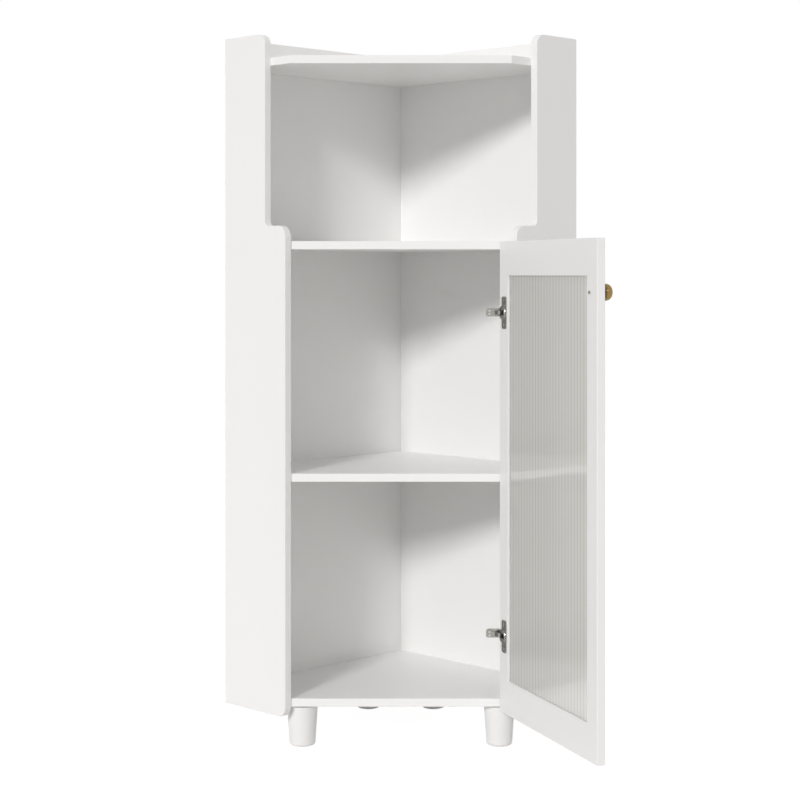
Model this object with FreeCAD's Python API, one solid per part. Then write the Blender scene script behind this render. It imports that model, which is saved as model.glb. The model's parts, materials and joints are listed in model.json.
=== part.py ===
# Corner bathroom cabinet: tray top, open niche and a cupboard behind a fluted glass door.
# X runs to the right, Y towards the room corner and Z up from the floor.
import FreeCAD, Part
import math
import os

from FreeCAD import Vector

# Boards and plan, in millimetres and degrees
board = 15.0                # side panels and shelves
back_board = 9.0            # the two panels against the walls
wall_run = 445.0            # inner wall length, from the room corner to a side panel
side_run = 158.0            # length of a shelf's short side
side_lip = 3.2              # side panel ahead of the shelf's corner
edge_ease = 1.0             # eased edges of the side panels
seam_ease = 0.8             # eased edges of the shelves, which show as fine seams

# Heights, from the floor up
foot_height = 74.0
plate_thick = 3.0           # mounting plate between a foot and the bottom panel
lower_bay = 396.5
upper_bay = 410.5
niche_bay = 325.5
gallery = 43.0              # rim of the panels above the top shelf

# Side panel outline
side_drop = 18.0            # side panel below the underside of the bottom panel
step_rise = 28.8            # flat of the step above the counter
step_depth = 56.4           # how far the upper part stands back
step_round = 21.0
step_hollow = 10.0
corner_round = 19.0

# Feet
foot_top = 28.5             # radii
foot_bottom = 23.8
foot_round = 6.0
front_foot_from_edge = 33.0
front_foot_from_side = 38.3
rear_foot_from_wall = 30.0
rear_foot_from_corner = 122.0
plate_radius = 24.0
plate_screw_ring = 17.0
plate_screws = 3
stud_radius = 4.0
stud_in_foot = 30.0
stud_in_panel = 9.0
plate_screw_in_panel = 10.0

# Fittings between the boards
cam_radius = 7.5
cam_height = 12.5
cam_from_edge = 24.0
cam_share = 0.25            # place along the joint, from each of its ends
cam_slot_length = 9.0
cam_slot_depth = 2.0
cam_slot_width = 1.6
bolt_in_panel = 11.0
bolt_thread = 3.4           # radii
bolt_shank = 2.8
bolt_neck = 1.7
bolt_head_length = 2.6
bolt_neck_length = 4.0
dowel_radius = 4.0
dowel_in_panel = 10.0
dowel_in_shelf = 20.0
back_screw_length = 35.0
back_screws_per_run = 3
back_screw_from_end = 60.0
seam_screws = 4
seam_screw_from_end = 120.0
wood_screw_head = 3.8       # radii
wood_screw_shank = 1.9
fitting_play = 0.1          # clearance round a fitting in its bore
recess_share = 0.6          # arms of a screw's cross recess, of its head's radius
recess_width = 0.9
recess_depth = 1.1

# Door
door_thick = 15.0
door_gap = 4.0              # to the inner front corner of each side panel
door_stand = 3.7            # from the shelf edges to the closed door
door_drop = 6.3             # door below the underside of the bottom panel
door_lower = 0.8            # door's top below the counter's top
door_round = 1.2
stile = 36.5                # visible frame beside and above the window
rail = 62.0
bead_width = 6.5
bead_thick = 3.0
glass_thick = 4.0
glass_play = 0.5
flute_count = 28
flute_depth = 0.55
window_ease = 1.5
door_open = 110.45          # angle at which the door stands

# Knob
knob_from_edge = 26.0
knob_from_top = 89.2
knob_radius = 14.2
knob_length = 23.3
knob_neck = 4.8
knob_base = 7.5
knob_base_thick = 2.0
knob_cove = 1.5             # hollow between the base and the neck
knob_cove_round = 2.0
knob_flare = 6.5            # where the neck starts to flare, from the door
knob_flare_round = 2.5
knob_under = 9.0            # underside of the head at its rim, from the door
knob_under_round = 6.0
knob_dome_round = 9.4
knob_screw_radius = 2.0
knob_screw_head = 2.8
knob_screw_rise = 2.0
knob_screw_in_knob = 12.0

# Cup hinges: a cranked leaf turns on one pin inside a cup in the door
hinge_from_top = 129.5      # hinge middle below the top of the door
hinge_from_bottom = 140.0   # hinge middle above the bottom of the door
pivot_inset = 7.5           # pin from the door's hinge edge
pivot_depth = 6.5           # pin below the door's inner face
pin_radius = 1.25
pin_play = 0.1
cup_radius = 11.8
cup_wall = 0.8
slot_width = 8.6            # slot across the cup for the leaf
cup_depth = 11.5
cup_from_edge = 15.0
ear_offset = 6.2            # middle of the flange past the middle of the cup
flange_width = 20.0
flange_height = 58.5
flange_thick = 1.2
flange_round = 4.0
collar_rise = 1.2           # cup's rim above the flange
collar_base = 13.6          # radii
collar_top = 12.2
cup_screw_spacing = 45.0
small_screw_head = 3.3      # radii
small_screw_rise = 1.8
small_screw_shank = 1.6
small_screw_length = 11.0
eye_radius = 2.6
leaf_thick = 2.4
leaf_width = 7.0
leaf_bend = 1.2
leaf_drop = 1.9             # leaf's low point in front of the pin
leaf_throat = 10.5          # leaf's low point beside the pin
leaf_back = 17.0            # where the leaf turns flat, beside the pin
arm_width = 15.0
arm_thick = 8.0
arm_tip = 33.0              # arm's free end, beside the pin
arm_tip_round = 3.0
arm_bend = 3.0
arm_tail = 60.0             # arm's other end, along the side panel from its front edge
arm_lift = 3.2              # arm's underside off the side panel
arm_web = 1.5
arm_cheek = 1.2
channel_start = 14.0        # hollow of the arm, along the side panel
plate_base = 2.5
plate_start = 19.0
plate_length = 37.0
plate_half_width = 8.0
wing_length = 14.0
wing_reach = 21.0
wing_hole = 16.0
boss_margin = 2.0
arm_screw_radius = 2.0
arm_screw_head = 3.6
arm_screw_depth = 5.0
rivet_radius = 1.3
rivet_head = 2.0
rivet_rise = 0.7
rivet_spacing = 6.2
rivet_from_tip = 6.0
pad_width = 12.5            # leaf's end under the rivets
pad_length = 10.5

# Places that follow from the sizes above
DIAGONAL = math.sqrt(2.0)
UP = Vector(0, 0, 1)
NEAR = 1e-6                 # lengths and turns under this count as none
bottom_z = foot_height + plate_thick
inner_z = bottom_z + board + lower_bay
counter_z = inner_z + board + upper_bay
top_z = counter_z + board + niche_bay
height = top_z + board + gallery
shelf_levels = {"bottom_panel": bottom_z, "inner_shelf": inner_z,
                "counter_shelf": counter_z, "top_shelf": top_z}
plan_depth = (wall_run + side_run) / DIAGONAL
front_corner_x = (wall_run - side_run - side_lip) / DIAGONAL
front_corner_y = -side_lip / DIAGONAL
door_half = front_corner_x - door_gap
door_back = -door_stand
door_front = door_back - door_thick
door_base = bottom_z - door_drop
door_top = counter_z + board - door_lower
pivot = Vector(door_half - pivot_inset, door_back - pivot_depth, 0)
hinge_heights = {"upper": door_top - hinge_from_top, "lower": door_base + hinge_from_bottom}


def rounded_face(corners):
    """Flat face through corners (x, y, radius), each rounded by its own radius."""
    turns = []
    for index, (x, y, radius) in enumerate(corners):
        here = Vector(x, y, 0)
        back = Vector(*corners[index - 1][:2], 0) - here
        ahead = Vector(*corners[(index + 1) % len(corners)][:2], 0) - here
        if radius == 0:
            turns.append((here, None, here))
            continue
        half_angle = back.getAngle(ahead) / 2
        reach = radius / math.tan(half_angle)
        back.normalize()
        ahead.normalize()
        inward = (back + ahead).normalize()
        middle = here + inward * (radius / math.sin(half_angle) - radius)
        turns.append((here + back * reach, middle, here + ahead * reach))
    edges = []
    for index, (enter, middle, leave) in enumerate(turns):
        if middle:
            edges.append(Part.Arc(enter, middle, leave).toShape())
        following = turns[(index + 1) % len(turns)][0]
        if leave.distanceToPoint(following) > NEAR:
            edges.append(Part.LineSegment(leave, following).toShape())
    return Part.Face(Part.Wire(edges))


def bent_strip(points, thick, bend):
    """Flat face of a strip of even thickness bent along points, with round bends."""
    left = []
    right = []
    last = len(points) - 1
    for index, point in enumerate(points):
        before = point - points[max(index - 1, 0)]
        after = points[min(index + 1, last)] - point
        before = (before if index > 0 else after).normalize()
        after = (after if index < last else before).normalize()
        turn = before.cross(after).z
        across = UP.cross(before + after).normalize()
        reach = thick / 2 / across.dot(UP.cross(before))
        inner = bend if abs(turn) > NEAR else 0.0
        outer = bend + thick if abs(turn) > NEAR else 0.0
        near = point + across * reach
        far = point - across * reach
        left.append((near.x, near.y, inner if turn > 0 else outer))
        right.append((far.x, far.y, outer if turn > 0 else inner))
    return rounded_face(left + right[::-1])


def turned(corners):
    """Solid of revolution about Z from corners (radius, height, rounding)."""
    solid = rounded_face(corners).revolve(Vector(), Vector(0, 1, 0), 360)
    solid.rotate(Vector(), Vector(1, 0, 0), 90)
    return solid


def aim(shape, start, direction):
    """Set a shape made along Z at a start point and along a direction."""
    shape.Placement = FreeCAD.Placement(start, FreeCAD.Rotation(UP, direction)).multiply(shape.Placement)
    return shape


def countersunk(head, shank, length, play=0.0):
    """Countersunk form along Z with its head flush at zero; play makes a screw's hole."""
    return turned([(0, 0, 0), (head + play, 0, 0), (shank + play, head - shank, 0),
                   (shank + play, length + play, 0), (0, length + play, 0)])


def pan_head(head, rise, shank, length):
    """Pan head form along Z with its head standing below zero."""
    return turned([(0, -rise, 0), (head, -rise, rise / 2), (head, 0, 0), (shank, 0, 0),
                   (shank, length, 0), (0, length, 0)])


def cross_recess(screw, head, top):
    """Cut a cross recess for a screwdriver into a head whose top is at that height."""
    reach = head * recess_share
    for turn in (0, 90):
        slot = Part.makeBox(2 * reach, recess_width, 2 * recess_depth,
                            Vector(-reach, -recess_width / 2, top - recess_depth))
        slot.rotate(Vector(), UP, turn)
        screw = screw.cut(slot)
    return screw


def wood_screw(length):
    """Countersunk wood screw."""
    return cross_recess(countersunk(wood_screw_head, wood_screw_shank, length), wood_screw_head, 0)


def pan_screw(head, rise, shank, length):
    """Pan head screw."""
    return cross_recess(pan_head(head, rise, shank, length), head, -rise)


def spread(start, end, count):
    """Evenly spaced values from start to end."""
    return [start + (end - start) * index / (count - 1) for index in range(count)]


def to_room(shape):
    """Move a shape from wall lines (left wall X, right wall Y) into the cabinet's place."""
    shape.rotate(Vector(), UP, 225)
    shape.translate(Vector(0, plan_depth, 0))
    return shape


def mirrored(shape):
    """The same shape on the other side of the cabinet."""
    return shape.mirror(Vector(), Vector(1, 0, 0))


def both_sides(solids):
    """A group of solids together with their mirror images."""
    return Part.makeCompound(solids + [mirrored(solid) for solid in solids])


def on_panel(along, off, z=0.0):
    """Point at a distance along the right side panel from its front edge and off its inner face."""
    return Vector(front_corner_x + (along - off) / DIAGONAL, front_corner_y + (along + off) / DIAGONAL, z)


INTO_PANEL = Vector(1, -1, 0).normalize()


def shelf_fittings():
    """Dowels, cam bolts and cam discs of the right side, with the holes for them."""
    panel_face = wall_run
    bolt_end = cam_from_edge + bolt_head_length / 2
    head_start = bolt_end - bolt_head_length
    neck_start = head_start - bolt_neck_length
    dowels, bolts, discs, holes = [], [], [], []
    for name, level in shelf_levels.items():
        middle = level + board / 2
        cam_base, cam_up = (level + board, -1) if name == "top_shelf" else (level, 1)
        joint = side_run + side_lip - step_depth if name == "top_shelf" else side_run
        for spot in (joint * cam_share, joint * (1 - cam_share)):
            bolt = turned([(0, -bolt_in_panel, 0), (bolt_thread, -bolt_in_panel, 0), (bolt_thread, 0, 0),
                           (bolt_shank, 0, 0), (bolt_shank, neck_start, 0), (bolt_neck, neck_start, 0),
                           (bolt_neck, head_start, 0), (bolt_shank, head_start, 0),
                           (bolt_shank, bolt_end, 0), (0, bolt_end, 0)])
            sleeve = turned([(0, -bolt_in_panel, 0), (bolt_thread + fitting_play, -bolt_in_panel, 0),
                             (bolt_thread + fitting_play, 0, 0), (bolt_shank + fitting_play, 0, 0),
                             (bolt_shank + fitting_play, bolt_end + fitting_play, 0),
                             (0, bolt_end + fitting_play, 0)])
            start = Vector(spot, panel_face, middle)
            aim(bolt, start, Vector(0, -1, 0))
            aim(sleeve, start, Vector(0, -1, 0))
            centre = Vector(spot, panel_face - cam_from_edge, cam_base)
            disc = Part.makeCylinder(cam_radius, cam_height, centre, UP * cam_up)
            seat = Part.makeCylinder(cam_radius + fitting_play, cam_height, centre, UP * cam_up)
            for turn in (0, 90):
                slot = Part.makeBox(cam_slot_length, cam_slot_width, cam_slot_depth * 2,
                                    Vector(-cam_slot_length / 2, -cam_slot_width / 2, -cam_slot_depth))
                slot.rotate(Vector(), UP, turn)
                slot.translate(centre)
                disc = disc.cut(slot)
            bolts.append(bolt)
            discs.append(disc.cut(sleeve))
            holes.extend([sleeve, seat])
        dowel_start = Vector(joint / 2, panel_face + dowel_in_panel, middle)
        reach = dowel_in_panel + dowel_in_shelf
        dowels.append(Part.makeCylinder(dowel_radius, reach, dowel_start, Vector(0, -1, 0)))
        holes.append(Part.makeCylinder(dowel_radius + fitting_play, reach, dowel_start, Vector(0, -1, 0)))
    return [[to_room(solid) for solid in group] for group in (dowels, bolts, discs, holes)]


def back_screws():
    """Screws through the back panels into the shelves and down the corner seam, with their holes."""
    screws, holes = [], []
    starts = []
    runs = spread(back_screw_from_end, wall_run - back_screw_from_end, back_screws_per_run)
    for level in shelf_levels.values():
        middle = level + board / 2
        starts += [(Vector(-back_board, run, middle), Vector(1, 0, 0)) for run in runs]
        starts += [(Vector(run, -back_board, middle), Vector(0, 1, 0)) for run in runs]
    for z in spread(bottom_z + seam_screw_from_end, height - seam_screw_from_end, seam_screws):
        starts.append((Vector(-back_board / 2, -back_board, z), Vector(0, 1, 0)))
    for start, direction in starts:
        screw = wood_screw(back_screw_length)
        hole = countersunk(wood_screw_head, wood_screw_shank, back_screw_length, fitting_play)
        screws.append(to_room(aim(screw, start, direction)))
        holes.append(to_room(aim(hole, start, direction)))
    return screws, holes


def along_edge(edge):
    """The two ends and the middle of an edge."""
    middle = edge.valueAt((edge.FirstParameter + edge.LastParameter) / 2)
    return [vertex.Point for vertex in edge.Vertexes] + [middle]


def right_side_panel():
    """Right side panel with its rounded front corners and its stepped front edge."""
    rear = -back_board
    low_front = side_run + side_lip
    high_front = low_front - step_depth
    step_z = counter_z + board + step_rise
    base = bottom_z - side_drop
    face = rounded_face([(rear, base, 0), (low_front, base, corner_round), (low_front, step_z, step_round),
                         (high_front, step_z, step_hollow), (high_front, height, corner_round),
                         (rear, height, 0)])
    panel = face.extrude(UP * board)
    panel.rotate(Vector(), Vector(1, 0, 0), 90)
    panel.translate(Vector(0, wall_run + board, 0))
    rim = [edge for edge in panel.Edges
           if edge.BoundBox.YLength < NEAR and any(point.x > rear + NEAR for point in along_edge(edge))]
    return to_room(panel.makeFillet(edge_ease, rim))


def shelf(level):
    """Five-sided shelf that fills the plan between the back and side panels."""
    plan = [(0, 0, 0), (wall_run, 0, 0), (wall_run, side_run, 0), (side_run, wall_run, 0), (0, wall_run, 0)]
    solid = rounded_face(plan).extrude(UP * board)
    solid.translate(Vector(0, 0, level))
    return to_room(solid.makeFillet(seam_ease, solid.Edges))


def back_panels():
    """The two wall panels; the left one laps behind the right one's edge in the corner."""
    tall = height - bottom_z
    right = Part.makeBox(back_board, wall_run, tall, Vector(-back_board, 0, bottom_z))
    corner = [edge for edge in right.Edges if all(math.hypot(p.x, p.y) < NEAR for p in along_edge(edge))]
    right = right.makeFillet(seam_ease, corner)
    left = Part.makeBox(wall_run + back_board, back_board, tall, Vector(-back_board, -back_board, bottom_z))
    return to_room(left), to_room(right)


def foot_places():
    """Foot centres by name."""
    front_x = front_corner_x + side_lip / DIAGONAL + front_foot_from_edge - front_foot_from_side * DIAGONAL
    rear_x = (rear_foot_from_corner - rear_foot_from_wall) / DIAGONAL
    rear_y = plan_depth - (rear_foot_from_corner + rear_foot_from_wall) / DIAGONAL
    places = {}
    for side, sign in (("left", -1), ("right", 1)):
        places["front_" + side] = Vector(sign * front_x, front_foot_from_edge, 0)
        places["rear_" + side] = Vector(sign * rear_x, rear_y, 0)
    return places


def feet():
    """Tapered feet, their plates, studs and plate screws, with the holes in the bottom panel."""
    solids = {}
    plates, studs, screws, holes = [], [], [], []
    for name, place in foot_places().items():
        foot = turned([(0, 0, 0), (foot_bottom, 0, foot_round), (foot_top, foot_height, edge_ease),
                       (0, foot_height, 0)])
        foot.translate(place)
        stud_start = place + UP * (foot_height - stud_in_foot)
        stud_length = stud_in_foot + plate_thick + stud_in_panel
        stud = Part.makeCylinder(stud_radius, stud_length, stud_start)
        stud_hole = Part.makeCylinder(stud_radius + fitting_play, stud_length, stud_start)
        plate = Part.makeCylinder(plate_radius, plate_thick, place + UP * foot_height).cut(stud_hole)
        for index in range(plate_screws):
            spot = Vector(plate_screw_ring, 0, foot_height)
            spot = FreeCAD.Rotation(UP, 360 * index / plate_screws).multVec(spot) + place
            length = plate_thick + plate_screw_in_panel
            screws.append(aim(wood_screw(length), spot, UP))
            hole = aim(countersunk(wood_screw_head, wood_screw_shank, length, fitting_play), spot, UP)
            plate = plate.cut(hole)
            holes.append(hole)
        solids[name + "_foot"] = foot.cut(stud_hole)
        plates.append(plate)
        studs.append(stud)
        holes.append(stud_hole)
    return solids, plates, studs, screws, holes


def across_door(solid):
    """Turn a shape drawn flat, with its height along Y, upright so that it stands across the door."""
    solid.rotate(Vector(), Vector(1, 0, 0), 90)
    return solid


def window(margin_side, margin_rail, front, back):
    """Upright block inside the door's outline, from a front to a back plane."""
    return Part.makeBox(2 * (door_half - margin_side), back - front, door_top - door_base - 2 * margin_rail,
                        Vector(margin_side - door_half, front, door_base + margin_rail))


def door_frame(holes):
    """One-piece frame, rebated from the inside for the glass and its beads."""
    frame = window(0, 0, door_front, door_back)
    frame = frame.makeFillet(door_round, frame.Edges)
    rebate = door_back - bead_thick - glass_thick
    frame = frame.cut(window(stile, rail, door_front, door_back))
    frame = frame.cut(window(stile - bead_width, rail - bead_width, rebate, door_back))
    opening = window(stile, rail, door_front, door_back).BoundBox
    opening.enlarge(NEAR)
    rim = [edge for edge in frame.Edges
           if all(abs(point.y - door_front) < NEAR and opening.isInside(point) for point in along_edge(edge))]
    frame = frame.makeFillet(window_ease, rim)
    return frame.cut(holes)


def fluted_glass():
    """Pane with a flat inner face and upright round flutes on its outer face."""
    half = door_half - stile + bead_width - glass_play
    low = door_base + rail - bead_width + glass_play
    tall = door_top - door_base - 2 * (rail - bead_width + glass_play)
    flat = door_back - bead_thick
    crest = flat - glass_thick
    valley = crest + flute_depth
    pitch = 2 * half / flute_count
    edges = [Part.LineSegment(Vector(-half, valley, low), Vector(-half, flat, low)).toShape(),
             Part.LineSegment(Vector(-half, flat, low), Vector(half, flat, low)).toShape(),
             Part.LineSegment(Vector(half, flat, low), Vector(half, valley, low)).toShape()]
    for index in range(flute_count):
        right = half - index * pitch
        edges.append(Part.Arc(Vector(right, valley, low), Vector(right - pitch / 2, crest, low),
                              Vector(right - pitch, valley, low)).toShape())
    return Part.Face(Part.Wire(edges)).extrude(UP * tall)


def glazing_beads():
    """Four mitred strips that hold the glass in the rebate."""
    half, low, high = door_half - stile, door_base + rail, door_top - rail
    inner = [(-half, low), (half, low), (half, high), (-half, high)]
    half, low, high = half + bead_width, low - bead_width, high + bead_width
    outer = [(-half, low), (half, low), (half, high), (-half, high)]
    solids = {}
    for index, name in enumerate(("bottom_bead", "hinge_side_bead", "top_bead", "knob_side_bead")):
        after = (index + 1) % len(inner)
        corners = (outer[index], outer[after], inner[after], inner[index])
        strip = across_door(rounded_face([(x, z, 0) for x, z in corners]).extrude(UP * bead_thick))
        strip.translate(Vector(0, door_back, 0))
        solids[name] = strip
    return solids


def knob():
    """Turned mushroom knob, its screw and the screw's hole."""
    place = Vector(knob_from_edge - door_half, door_front, door_top - knob_from_top)
    solid = turned([(0, 0, 0), (knob_base, 0, 0), (knob_base, knob_base_thick, knob_base_thick / 2),
                    (knob_neck, knob_base_thick + knob_cove, knob_cove_round),
                    (knob_neck, knob_flare, knob_flare_round), (knob_radius, knob_under, knob_under_round),
                    (knob_radius, knob_length, knob_dome_round), (0, knob_length, 0)])
    reach = door_thick + knob_screw_in_knob
    screw = pan_screw(knob_screw_head, knob_screw_rise, knob_screw_radius, reach)
    hole = Part.makeCylinder(knob_screw_radius + fitting_play, reach + fitting_play)
    outward = Vector(0, -1, 0)
    inner_spot = place + Vector(0, door_thick, 0)
    aim(screw, inner_spot, outward)
    aim(hole, inner_spot, outward)
    return aim(solid, place, outward).cut(hole), screw, hole


def hinge_cup(z):
    """Cup with its flange, its pin and screws on the door, and the holes they need."""
    centre = Vector(door_half - cup_from_edge, door_back, z)
    outward = Vector(0, -1, 0)
    half_w, half_h = flange_width / 2, flange_height / 2
    corners = [(-half_w, -half_h), (half_w, -half_h), (half_w, half_h), (-half_w, half_h)]
    flange = across_door(rounded_face([(x, y, flange_round) for x, y in corners]).extrude(UP * flange_thick))
    flange.translate(centre + Vector(-ear_offset, flange_thick, 0))
    rim = flange_thick + collar_rise
    collar = Part.makeCone(collar_top, collar_base, rim, centre + Vector(0, rim, 0), outward)
    bowl = Part.makeCylinder(cup_radius, cup_depth, centre, outward)
    hollow = Part.makeCylinder(cup_radius - cup_wall, cup_depth - cup_wall + rim,
                               centre + Vector(0, rim, 0), outward)
    slot = Part.makeBox(2 * cup_radius, cup_depth + rim, slot_width,
                        centre - Vector(cup_radius, cup_depth, slot_width / 2))
    hollow = hollow.common(slot)
    pin_outside = cup_from_edge - pivot_inset + pin_radius
    pin_half = math.sqrt(cup_radius ** 2 - pin_outside ** 2) - fitting_play
    pin = Part.makeCylinder(pin_radius, 2 * pin_half, pivot + UP * (z - pin_half))
    cup = flange.fuse([bowl, collar]).cut(hollow).cut(pin).removeSplitter()
    bore = Part.makeCylinder(cup_radius + fitting_play, cup_depth, centre, outward)
    screws, holes = [], [bore]
    for sign in (-1, 1):
        spot = centre + Vector(-ear_offset, flange_thick, sign * cup_screw_spacing / 2)
        screw = pan_screw(small_screw_head, small_screw_rise, small_screw_shank, small_screw_length)
        hole = Part.makeCylinder(small_screw_shank + fitting_play, small_screw_length + fitting_play,
                                 spot, outward)
        screws.append(aim(screw, spot, outward))
        cup = cup.cut(hole)
        holes.append(hole)
    return cup, pin, screws, holes


def hinge_leaf(z):
    """Cranked leaf from the arm's tip round the cup's rim to the pin."""
    seat = arm_front() - leaf_thick / 2
    points = [Vector(pivot.x - arm_tip, seat, 0), Vector(pivot.x - leaf_back, seat, 0),
              Vector(pivot.x - leaf_throat, pivot.y - leaf_drop, 0), pivot]
    leaf = bent_strip(points, leaf_thick, leaf_bend).extrude(UP * leaf_width)
    pad = Part.makeBox(pad_length, leaf_thick, pad_width,
                       Vector(pivot.x - arm_tip, seat - leaf_thick / 2, (leaf_width - pad_width) / 2))
    leaf = leaf.fuse([Part.makeCylinder(eye_radius, leaf_width, pivot), pad])
    leaf = leaf.cut(Part.makeCylinder(pin_radius + pin_play, leaf_width, pivot)).removeSplitter()
    leaf.translate(UP * (z - leaf_width / 2))
    return leaf


def arm_front():
    """Front face of the arm's nose, which clears the closed door by the leaf's thickness."""
    return leaf_thick


def arm_bar(z):
    """Arm that runs along the side panel and bends to a nose across the door opening."""
    middle = arm_lift + arm_thick / 2
    nose_y = arm_front() + arm_thick / 2
    along = (nose_y - front_corner_y) * DIAGONAL - middle
    points = [Vector(pivot.x - arm_tip, nose_y, 0), on_panel(along, middle), on_panel(arm_tail, middle)]
    arm = bent_strip(points, arm_thick, arm_bend).extrude(UP * arm_width)
    tip = [edge for edge in arm.Edges
           if edge.BoundBox.ZLength < NEAR and all(abs(p.x - points[0].x) < NEAR for p in along_edge(edge))]
    arm = arm.makeChamfer(arm_tip_round, tip)
    channel = Part.makeBox(arm_tail - channel_start, arm_thick - arm_web, arm_width - 2 * arm_cheek,
                           Vector(channel_start, arm_lift, arm_cheek))
    arm = arm.cut(to_panel(channel))
    arm.translate(UP * (z - arm_width / 2))
    return arm


def to_panel(solid):
    """Move a shape drawn along X, with its lift along Y, onto the right side panel's inner face."""
    solid.rotate(Vector(), UP, 45)
    solid.translate(on_panel(0, 0))
    return solid


def hinge_arm(z):
    """Arm, mounting plate, rivets and screws on the side panel, with the holes in the panel."""
    off_web = arm_lift + arm_thick
    boss_top = off_web - arm_web
    centre = plate_start + plate_length / 2
    boss_half = arm_width / 2 - arm_cheek - fitting_play
    base = Part.makeBox(plate_length, plate_base, 2 * plate_half_width,
                        Vector(plate_start, 0, -plate_half_width))
    wings = Part.makeBox(wing_length, plate_base, 2 * wing_reach,
                         Vector(centre - wing_length / 2, 0, -wing_reach))
    boss = Part.makeBox(plate_length - 2 * boss_margin, boss_top - plate_base, 2 * boss_half,
                        Vector(plate_start + boss_margin, plate_base, -boss_half))
    plate = to_panel(base.fuse([wings, boss]).removeSplitter())
    plate.translate(UP * z)
    arm = arm_bar(z)
    leaf = hinge_leaf(z)
    spot = on_panel(centre, off_web, z)
    screw = pan_screw(arm_screw_head, small_screw_rise, arm_screw_radius, arm_web + arm_screw_depth)
    hole = Part.makeCylinder(arm_screw_radius + fitting_play, arm_web + arm_screw_depth + fitting_play,
                             spot, INTO_PANEL)
    arm_screw = aim(screw, spot, INTO_PANEL)
    arm = arm.cut(hole)
    plate = plate.cut(hole)
    plate_screws_here, holes = [], []
    for sign in (-1, 1):
        spot = on_panel(centre, plate_base, z + sign * wing_hole)
        screw = pan_screw(small_screw_head, small_screw_rise, small_screw_shank, small_screw_length)
        hole = Part.makeCylinder(small_screw_shank + fitting_play, small_screw_length + fitting_play,
                                 spot, INTO_PANEL)
        plate_screws_here.append(aim(screw, spot, INTO_PANEL))
        plate = plate.cut(hole)
        holes.append(hole)
    rivets = []
    for sign in (-1, 1):
        rivet_z = z + sign * rivet_spacing / 2
        spot = Vector(pivot.x - arm_tip + rivet_from_tip, arm_front() - leaf_thick, rivet_z)
        length = leaf_thick + arm_thick / 2
        rivets.append(aim(pan_head(rivet_head, rivet_rise, rivet_radius, length), spot, Vector(0, 1, 0)))
        hole = Part.makeCylinder(rivet_radius + fitting_play, length + fitting_play, spot, Vector(0, 1, 0))
        leaf = leaf.cut(hole)
        arm = arm.cut(hole)
    return arm, leaf, plate, arm_screw, plate_screws_here, rivets, holes


# Build the cabinet with its door shut
nodes = {}
dowels, bolts, discs, side_holes = shelf_fittings()
wall_screws, wall_holes = back_screws()
foot_solids, plates, studs, foot_screws, foot_holes = feet()
left_holes = [mirrored(hole) for hole in side_holes]
carcass_holes = side_holes + left_holes + wall_holes + foot_holes

door_nodes = {}
cup_screws, plate_screws_all, arm_screws, rivets_all = [], [], [], []
door_holes, panel_holes = [], []
for side, z in hinge_heights.items():
    cup, pin, screws, holes = hinge_cup(z)
    door_nodes[side + "_hinge_cup"] = cup
    door_nodes[side + "_hinge_pin"] = pin
    cup_screws += screws
    door_holes += holes
    arm, leaf, plate, arm_screw, plate_screws_here, rivets, holes = hinge_arm(z)
    nodes[side + "_hinge_arm"] = arm
    nodes[side + "_hinge_leaf"] = leaf
    nodes[side + "_hinge_plate"] = plate
    arm_screws.append(arm_screw)
    plate_screws_all += plate_screws_here
    rivets_all += rivets
    panel_holes += holes

side_panel = right_side_panel()
nodes["right_side_panel"] = side_panel.cut(side_holes + panel_holes)
nodes["left_side_panel"] = mirrored(side_panel).cut(left_holes)
left_back, right_back = back_panels()
nodes["left_back_panel"] = left_back.cut(wall_holes)
nodes["right_back_panel"] = right_back.cut(wall_holes)
for name, level in shelf_levels.items():
    nodes[name] = shelf(level).cut(carcass_holes)
nodes.update(foot_solids)
nodes["foot_plates"] = Part.makeCompound(plates)
nodes["foot_studs"] = Part.makeCompound(studs)
nodes["foot_plate_screws"] = Part.makeCompound(foot_screws)
nodes["dowels"] = both_sides(dowels)
nodes["cam_bolts"] = both_sides(bolts)
nodes["cam_discs"] = both_sides(discs)
nodes["back_panel_screws"] = Part.makeCompound(wall_screws)
nodes["hinge_plate_screws"] = Part.makeCompound(plate_screws_all)
nodes["hinge_arm_screws"] = Part.makeCompound(arm_screws)
nodes["hinge_rivets"] = Part.makeCompound(rivets_all)

knob_solid, knob_screw, knob_hole = knob()
door_nodes["knob"] = knob_solid
door_nodes["knob_screw"] = knob_screw
door_nodes["door_frame"] = door_frame(door_holes + [knob_hole])
door_nodes["fluted_glass"] = fluted_glass()
door_nodes.update(glazing_beads())
door_nodes["hinge_cup_screws"] = Part.makeCompound(cup_screws)

# Swing the door open on its pins
for name, shape in door_nodes.items():
    shape.rotate(pivot, UP, door_open)
    nodes[name] = shape

# The origin is the bottom centre of the box that the cabinet fills with its door open
box = FreeCAD.BoundBox()
for shape in nodes.values():
    box.add(shape.optimalBoundingBox(False, False))
origin = Vector(box.Center.x, box.Center.y, 0)
os.makedirs("parts", exist_ok=True)
for name, shape in nodes.items():
    shape.translate(-origin)
    shape.exportStep("parts/" + name + ".step")
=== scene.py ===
# Looks of the corner bathroom cabinet: sprayed paint, fluted glass, turned brass and plated hinges.
import json
import math

import bmesh
import bpy
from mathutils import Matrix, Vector

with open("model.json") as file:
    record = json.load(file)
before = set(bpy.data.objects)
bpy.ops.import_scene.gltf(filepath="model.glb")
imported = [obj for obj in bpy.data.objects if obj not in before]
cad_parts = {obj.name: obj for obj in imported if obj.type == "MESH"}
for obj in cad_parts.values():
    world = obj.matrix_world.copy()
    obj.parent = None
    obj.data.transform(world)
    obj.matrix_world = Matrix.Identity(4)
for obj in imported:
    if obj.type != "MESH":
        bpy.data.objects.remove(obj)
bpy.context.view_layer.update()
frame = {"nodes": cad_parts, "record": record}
nodes = frame["nodes"]

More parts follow.
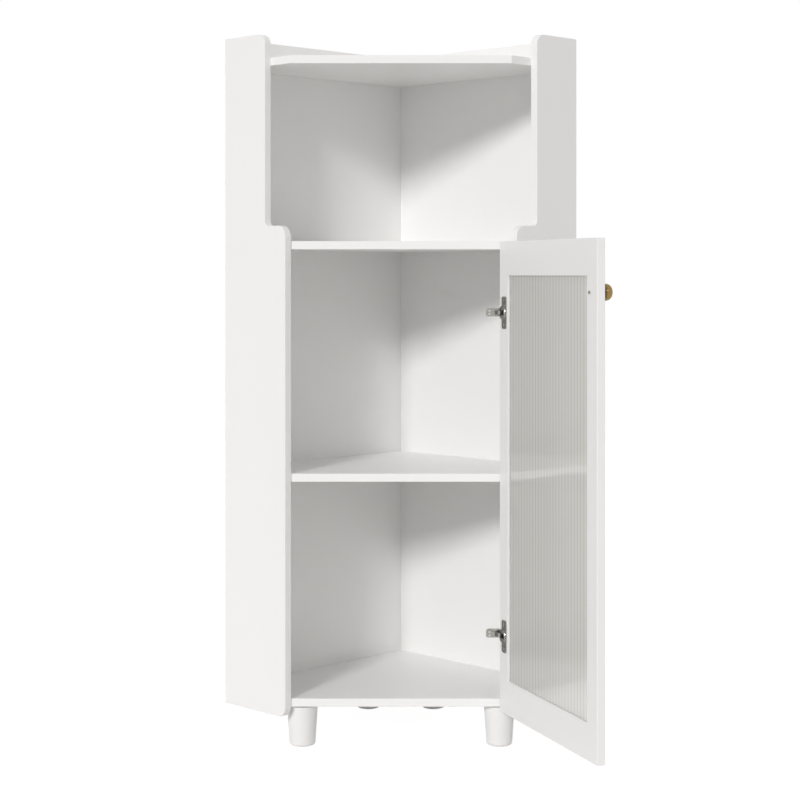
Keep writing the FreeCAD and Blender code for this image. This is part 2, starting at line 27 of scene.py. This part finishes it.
# Camera, fitted to the edges of the boards in the photograph
IMAGE_WIDTH = 800           # pixels
FOCAL_PIXELS = 1799.0
HORIZON_ROW = 273.95        # pixels below the top of the photograph
SENSOR_MM = 36.0
CAMERA_PLACE = (-0.0093, -3.3247, 0.869)

# Paint
PAINT_ROUGH = 0.32          # a satin coat
PAINT_STRAY = 0.05          # how far its roughness strays from that
PEEL_MM = 6.0               # orange peel is about 2 mm across, and drawn coarser so that it shows
CLOUD_MM = 140.0            # faint clouds in its colour and shine

# Pane
FLUTES = 28
VALLEY_SHARE = 0.13         # half the width of the valley line, rougher and with painted shade, of a flute's width
VALLEY_DULL = 0.08          # how much rougher the glass is there
GLASS_ROUGH = (0.10, 0.14)  # from patch to patch, as the roller left it
PATCH_MM = 25.0
HAZE_CLEAR = 0.5            # share of the light that passes the milky haze

# Metal and wood
RELIEF = 0.0001             # metres, height of the marks on metal and of the paint's peel
FLECK_MM = 3.0              # short dark flecks of beech

# Light: one soft key from the front left, and an even studio round it
KEY_AZIMUTH = 24.0          # degrees to the left of straight ahead
KEY_HEIGHT = 24.5           # degrees above the floor
KEY_STRENGTH = 1.62
KEY_SPREAD = 11.0           # degrees across, which sets how soft its shadows are
STUDIO_LEVEL = 0.45         # strength of the even light, before its slope is added
STUDIO_SLOPE = (0.085, 0.125, 0.08)     # its rise to the right, to the back and upwards
FLOOR_HALF = 6.0            # metres
FLOOR_COLOUR = "EDECEA"
FLOOR_GLOW = 0.95           # white of the floor as the camera sees it
FLOOR_SHADE = "6C6C6C"      # what is left of the floor for the object's shadow


def linear(code):
    """Linear colour from an sRGB hex value."""
    values = [int(code[i:i + 2], 16) / 255 for i in (0, 2, 4)]
    return [v / 12.92 if v <= 0.04045 else ((v + 0.055) / 1.055) ** 2.4 for v in values] + [1.0]


def per_metre(millimetres):
    """Texture scale of a pattern whose marks are that many millimetres apart."""
    return 1000.0 / millimetres


def add(tree, kind, settings=None, **inputs):
    """Add a node with its own settings. Inputs, by name or as _number, are values or sockets to link."""
    node = tree.nodes.new(kind)
    for name, value in (settings or {}).items():
        setattr(node, name, value)
    for name, value in inputs.items():
        socket = node.inputs[int(name[1:])] if name[0] == "_" else node.inputs[name.replace("_", " ")]
        if isinstance(value, bpy.types.NodeSocket):
            tree.links.new(value, socket)
        else:
            socket.default_value = value
    return node


def new_material(name):
    """Empty node material, its nodes and its output."""
    material = bpy.data.materials.new(name)
    material.use_nodes = True
    tree = material.node_tree
    tree.nodes.clear()
    output = tree.nodes.new("ShaderNodeOutputMaterial")
    return material, tree, output


def own_place(tree):
    """The piece's own coordinates, in metres."""
    return tree.nodes.new("ShaderNodeTexCoord").outputs["Object"]


def sprayed_paint(name, pale, deep):
    """Satin polyurethane sprayed on fibreboard: even white, faint clouding and orange peel in the shine."""
    material, tree, output = new_material(name)
    place = own_place(tree)
    peel = add(tree, "ShaderNodeTexNoise", Vector=place, Scale=per_metre(PEEL_MM), Detail=2.0)
    cloud = add(tree, "ShaderNodeTexNoise", Vector=place, Scale=per_metre(CLOUD_MM), Detail=3.0)
    tint = add(tree, "ShaderNodeMix", {"data_type": "RGBA"}, Factor=cloud.outputs["Fac"],
               _6=linear(pale), _7=linear(deep))
    rough = add(tree, "ShaderNodeMapRange", Value=cloud.outputs["Fac"],
                To_Min=PAINT_ROUGH - PAINT_STRAY, To_Max=PAINT_ROUGH + PAINT_STRAY)
    bump = add(tree, "ShaderNodeBump", Strength=0.25, Distance=RELIEF, Height=peel.outputs["Fac"])
    shader = add(tree, "ShaderNodeBsdfPrincipled", Base_Color=tint.outputs[2], Roughness=rough.outputs[0],
                 IOR=1.48, Normal=bump.outputs["Normal"])
    tree.links.new(shader.outputs[0], output.inputs["Surface"])
    return material


def rolled_glass(name, pane, crest, valley_shade):
    """Soda-lime glass rolled with flutes: a milky haze, and in each valley a rougher line darkened with
    painted shade.
    """
    material, tree, output = new_material(name)
    place = own_place(tree)
    # At rest the door stands open by the joint's whole range, and flutes are counted along its width
    swing = math.radians(frame["record"]["behaviour"]["joints"][0]["range_deg"][0])
    across = Vector((-math.cos(swing), math.sin(swing), 0))
    reach = [vertex.co.dot(across) for vertex in pane.data.vertices]
    pitch = (max(reach) - min(reach)) / FLUTES
    along = add(tree, "ShaderNodeVectorMath", {"operation": "DOT_PRODUCT"}, _0=place, _1=across / pitch)
    count = add(tree, "ShaderNodeMath", {"operation": "SUBTRACT"}, _0=along.outputs["Value"],
                _1=min(reach) / pitch)
    # Nought in a valley, a half on a crest
    rise = add(tree, "ShaderNodeMath", {"operation": "PINGPONG"}, _0=count.outputs[0], _1=0.5)
    valley_shade_and_dull = add(tree, "ShaderNodeMapRange", {"interpolation_type": "SMOOTHSTEP"}, Value=rise.outputs[0],
               From_Max=VALLEY_SHARE, To_Min=1.0, To_Max=0.0)
    # Painted shade: the base colour is darker along each valley, standing in for light bent aside by the
    # flutes
    tint = add(tree, "ShaderNodeMix", {"data_type": "RGBA"}, Factor=valley_shade_and_dull.outputs[0],
               _6=linear(crest), _7=linear(valley_shade))
    patch = add(tree, "ShaderNodeTexNoise", Vector=place, Scale=per_metre(PATCH_MM), Detail=2.0)
    rough = add(tree, "ShaderNodeMapRange", Value=patch.outputs["Fac"],
                To_Min=GLASS_ROUGH[0], To_Max=GLASS_ROUGH[1])
    dull = add(tree, "ShaderNodeMath", {"operation": "MULTIPLY_ADD"}, _0=valley_shade_and_dull.outputs[0], _1=VALLEY_DULL,
               _2=rough.outputs[0])
    shader = add(tree, "ShaderNodeBsdfPrincipled", Base_Color=tint.outputs[2], Roughness=dull.outputs[0],
                 IOR=1.52, Transmission_Weight=HAZE_CLEAR, Coat_Weight=1.0, Coat_Roughness=0.03)
    tree.links.new(shader.outputs[0], output.inputs["Surface"])
    return material


def plated(name, pale, deep, shine, mark_mm):
    """Plated or bare metal: faint mottling in its colour and in its shine."""
    material, tree, output = new_material(name)
    # Real marks are well under 1 mm across, and drawn coarser so that they show
    marks = add(tree, "ShaderNodeTexNoise", Vector=own_place(tree), Scale=per_metre(mark_mm), Detail=4.0)
    tint = add(tree, "ShaderNodeMix", {"data_type": "RGBA"}, Factor=marks.outputs["Fac"],
               _6=linear(pale), _7=linear(deep))
    rough = add(tree, "ShaderNodeMapRange", Value=marks.outputs["Fac"], To_Min=shine[0], To_Max=shine[1])
    bump = add(tree, "ShaderNodeBump", Strength=0.2, Distance=RELIEF, Height=marks.outputs["Fac"])
    shader = add(tree, "ShaderNodeBsdfPrincipled", Base_Color=tint.outputs[2], Metallic=1.0,
                 Roughness=rough.outputs[0], Normal=bump.outputs["Normal"])
    tree.links.new(shader.outputs[0], output.inputs["Surface"])
    return material


def turned_beech(name, pale, deep):
    """Beech turned into dowels: pale, with short darker flecks."""
    material, tree, output = new_material(name)
    fleck = add(tree, "ShaderNodeTexNoise", Vector=own_place(tree), Scale=per_metre(FLECK_MM), Detail=5.0)
    tint = add(tree, "ShaderNodeMix", {"data_type": "RGBA"}, Factor=fleck.outputs["Fac"],
               _6=linear(pale), _7=linear(deep))
    shader = add(tree, "ShaderNodeBsdfPrincipled", Base_Color=tint.outputs[2], Roughness=0.6)
    tree.links.new(shader.outputs[0], output.inputs["Surface"])
    return material


def seen_rays(tree):
    """One for rays from the camera, from a reflection or through glass, and nothing for other light."""
    path = tree.nodes.new("ShaderNodeLightPath")
    direct = add(tree, "ShaderNodeMath", {"operation": "MAXIMUM"}, _0=path.outputs["Is Camera Ray"],
                 _1=path.outputs["Is Glossy Ray"])
    seen = add(tree, "ShaderNodeMath", {"operation": "MAXIMUM"}, _0=direct.outputs[0],
               _1=path.outputs["Is Transmission Ray"])
    return seen.outputs[0]


def pale_floor():
    """Floor that is white to the camera and in reflections, with the cabinet's shadow left on it."""
    material, tree, output = new_material("studio_floor")
    matt = add(tree, "ShaderNodeBsdfDiffuse", Color=linear(FLOOR_COLOUR))
    glow = add(tree, "ShaderNodeEmission", Strength=FLOOR_GLOW)
    shade = add(tree, "ShaderNodeBsdfDiffuse", Color=linear(FLOOR_SHADE))
    shown = add(tree, "ShaderNodeAddShader", _0=glow.outputs[0], _1=shade.outputs[0])
    mixed = add(tree, "ShaderNodeMixShader", _0=seen_rays(tree), _1=matt.outputs[0], _2=shown.outputs[0])
    tree.links.new(mixed.outputs[0], output.inputs["Surface"])
    bm = bmesh.new()
    bmesh.ops.create_grid(bm, x_segments=1, y_segments=1, size=FLOOR_HALF)
    mesh = bpy.data.meshes.new("floor")
    bm.to_mesh(mesh)
    bm.free()
    mesh.materials.append(material)
    floor = bpy.data.objects.new("floor", mesh)
    bpy.context.scene.collection.objects.link(floor)


def white_studio():
    """Even light on the cabinet, and plain white behind it."""
    world = bpy.data.worlds.new("studio")
    world.use_nodes = True
    tree = world.node_tree
    tree.nodes.clear()
    sky = tree.nodes.new("ShaderNodeTexCoord").outputs["Generated"]
    rise = add(tree, "ShaderNodeVectorMath", {"operation": "DOT_PRODUCT"}, _0=sky, _1=STUDIO_SLOPE)
    even = add(tree, "ShaderNodeMath", {"operation": "ADD"}, _0=rise.outputs["Value"], _1=STUDIO_LEVEL)
    strength = add(tree, "ShaderNodeMix", Factor=seen_rays(tree), _2=even.outputs[0], _3=1.0)
    backdrop = add(tree, "ShaderNodeBackground", Color=linear("FFFFFF"), Strength=strength.outputs[0])
    add(tree, "ShaderNodeOutputWorld", Surface=backdrop.outputs[0])
    bpy.context.scene.world = world


def soft_key():
    """Key light from the front left."""
    turn = math.radians(KEY_AZIMUTH)
    lift = math.radians(KEY_HEIGHT)
    towards = Vector((-math.sin(turn) * math.cos(lift), -math.cos(turn) * math.cos(lift), math.sin(lift)))
    light = bpy.data.lights.new("key", "SUN")
    light.energy = KEY_STRENGTH
    light.angle = math.radians(KEY_SPREAD)
    key = bpy.data.objects.new("key", light)
    key.rotation_euler = towards.to_track_quat("Z", "Y").to_euler()
    bpy.context.scene.collection.objects.link(key)


def level_camera():
    """Level camera, with its frame shifted down as in the photograph."""
    lens = bpy.data.cameras.new("camera")
    lens.sensor_width = SENSOR_MM
    lens.lens = SENSOR_MM * FOCAL_PIXELS / IMAGE_WIDTH
    lens.shift_y = (HORIZON_ROW - IMAGE_WIDTH / 2) / IMAGE_WIDTH
    camera = bpy.data.objects.new("camera", lens)
    camera.location = CAMERA_PLACE
    camera.rotation_euler = (math.radians(90), 0, 0)
    bpy.context.scene.collection.objects.link(camera)
    bpy.context.scene.camera = camera
    bpy.context.scene.view_settings.view_transform = "Standard"


# One material for each slot of the record
finishes = {
    "painted_board": sprayed_paint("sprayed_satin_white", "FBFAF9", "F8F7F6"),
    "painted_bead": sprayed_paint("sprayed_bead_white", "FBFAF9", "F8F7F6"),
    "painted_foot": sprayed_paint("sprayed_foot_white", "F7F5F4", "F4F2F1"),
    # The glass's second colour is painted shade for the valleys of the flutes
    "fluted_glass": rolled_glass("rolled_soda_lime_glass", nodes["fluted_glass"], "F5F3EF", "CCCAC6"),
    "knob_brass": plated("satin_brass", "9E8558", "8A7248", shine=(0.12, 0.18), mark_mm=5.0),
    "hinge_nickel": plated("nickel_plated_steel", "ADAAA5", "93908B", shine=(0.18, 0.26), mark_mm=6.0),
    "bright_steel": plated("bright_steel", "D2D0CC", "B9B6B1", shine=(0.18, 0.28), mark_mm=4.0),
    "zinc_steel": plated("zinc_plated_steel", "B9BABA", "9C9E9F", shine=(0.3, 0.45), mark_mm=5.0),
    "cast_zinc": plated("die_cast_zinc", "A9A9A8", "939392", shine=(0.42, 0.55), mark_mm=3.0),
    "beech": turned_beech("beech_dowel", "D9B98E", "C19A6B"),
}
for subpart in frame["record"]["subparts"]:
    piece = nodes[subpart["node"]]
    piece.data.materials.clear()
    piece.data.materials.append(finishes[subpart["material_slot"]])

pale_floor()
white_studio()
soft_key()
level_camera()
